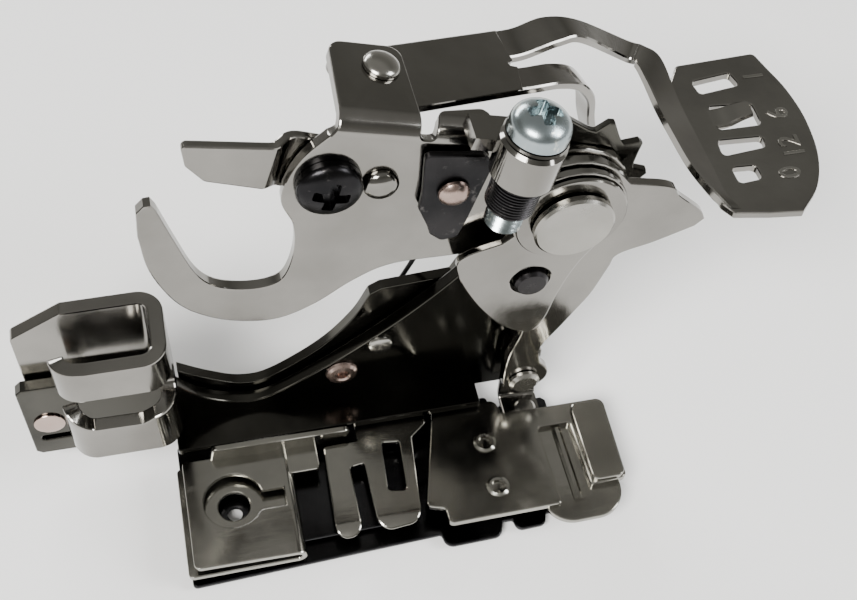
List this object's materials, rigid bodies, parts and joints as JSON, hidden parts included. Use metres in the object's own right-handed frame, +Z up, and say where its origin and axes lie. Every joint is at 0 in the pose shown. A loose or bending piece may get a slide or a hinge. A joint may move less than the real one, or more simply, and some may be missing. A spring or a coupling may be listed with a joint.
{
  "type": "sewing machine ruffler attachment",
  "caption": "Chrome ruffler attachment for a low-shank sewing machine: forked lever on a stud, swinging number plate, adjusting screw, sliding toothed blade and folded foot.",
  "frame": {"origin": "centre of the presser-bar seat on the inside of the clamp's front wall", "axes": "+X towards the operator (the number plate's side), +Y towards the machine's right (away from the front view), +Z up"},
  "size_m": [0.0691, 0.0297, 0.046],
  "materials": {
    "chrome_plate": "bright chrome plate on stamped steel",
    "bright_steel": "turned bright steel",
    "copper_rivet": "plated copper rivet, pinkish",
    "blued_steel": "black oxide",
    "zinc_plate": "blue-bright zinc"
  },
  "bodies": {
    "frame": {"shank_clamp": "chrome_plate", "clamp_rivet": "copper_rivet", "frame_plate": "chrome_plate", "rear_plate": "chrome_plate", "frame_rivet_front": "copper_rivet", "frame_rivet_rear": "bright_steel", "main_stud": "bright_steel", "stud_washer": "chrome_plate", "return_spring": "blued_steel", "presser_sole": "chrome_plate", "separator_blade": "blued_steel", "guide_fingers": "chrome_plate", "guide_plate": "chrome_plate", "guide_rivet_front": "chrome_plate", "guide_rivet_rear": "chrome_plate"},
    "fork_lever": {"fork_plate": "chrome_plate", "upper_prong": "chrome_plate", "prong_screw": "blued_steel", "prong_rivet": "chrome_plate", "spring_clip": "blued_steel", "pawl_rivet": "copper_rivet", "flange_rivet": "copper_rivet", "screw_barrel": "chrome_plate", "screw_sleeve": "blued_steel", "screw_washer": "chrome_plate"},
    "number_lever": {"number_lever": "chrome_plate"},
    "drive_pawl": {"drive_pawl": "blued_steel"},
    "ratchet_wheel": {"ratchet_wheel": "blued_steel"},
    "blade_arm": {"bell_crank": "chrome_plate", "cam_plate": "chrome_plate", "cam_pin": "blued_steel", "link_pin": "bright_steel"},
    "blade_slide": {"ruffling_blade": "blued_steel", "blade_carrier": "chrome_plate", "carrier_rivet": "bright_steel"},
    "adjusting_screw": {"adjusting_screw": "zinc_plate"}
  },
  "joints": [
    {"name": "fork_lever_hinge", "type": "hinge", "parent": "frame", "child": "fork_lever", "pos_m": [0.0335, -0.0075, 0.0126], "axis": [0, 1, 0], "range_deg": [-45, 2]},
    {"name": "blade_arm_hinge", "type": "hinge", "parent": "frame", "child": "blade_arm", "pos_m": [0.0335, -0.0075, 0.0126], "axis": [0, 1, 0], "range_deg": [-11.5, 0.6]},
    {"name": "blade_slide", "type": "slide", "parent": "frame", "child": "blade_slide", "axis": [1, 0, 0], "range_m": [-0.0003, 0.0049]},
    {"name": "ratchet_spin", "type": "hinge", "parent": "frame", "child": "ratchet_wheel", "pos_m": [0.0335, -0.0075, 0.0126], "axis": [0, 1, 0], "continuous": true},
    {"name": "pawl_hinge", "type": "hinge", "parent": "fork_lever", "child": "drive_pawl", "pos_m": [0.0242, 0.0005, 0.0161], "axis": [0, 1, 0], "range_deg": [-8, 6], "stiffness_Nm_per_rad": 0.002},
    {"name": "number_lever_hinge", "type": "hinge", "parent": "fork_lever", "child": "number_lever", "pos_m": [0.01957, 0.0051, 0.02169], "axis": [0.2756, 0, 0.9613], "range_deg": [-19, 0]},
    {"name": "screw_turn", "type": "hinge", "parent": "fork_lever", "child": "adjusting_screw", "pos_m": [0.02796, -0.0054, 0.02121], "axis": [0.1822, 0, 0.9833], "range_deg": [0, 1440]}
  ],
  "couplings": [
    {"joint": "blade_arm_hinge", "follows": "fork_lever_hinge", "ratio": 0.25},
    {"joint": "blade_slide", "follows": "fork_lever_hinge", "m_per_rad": -0.006125}
  ]
}
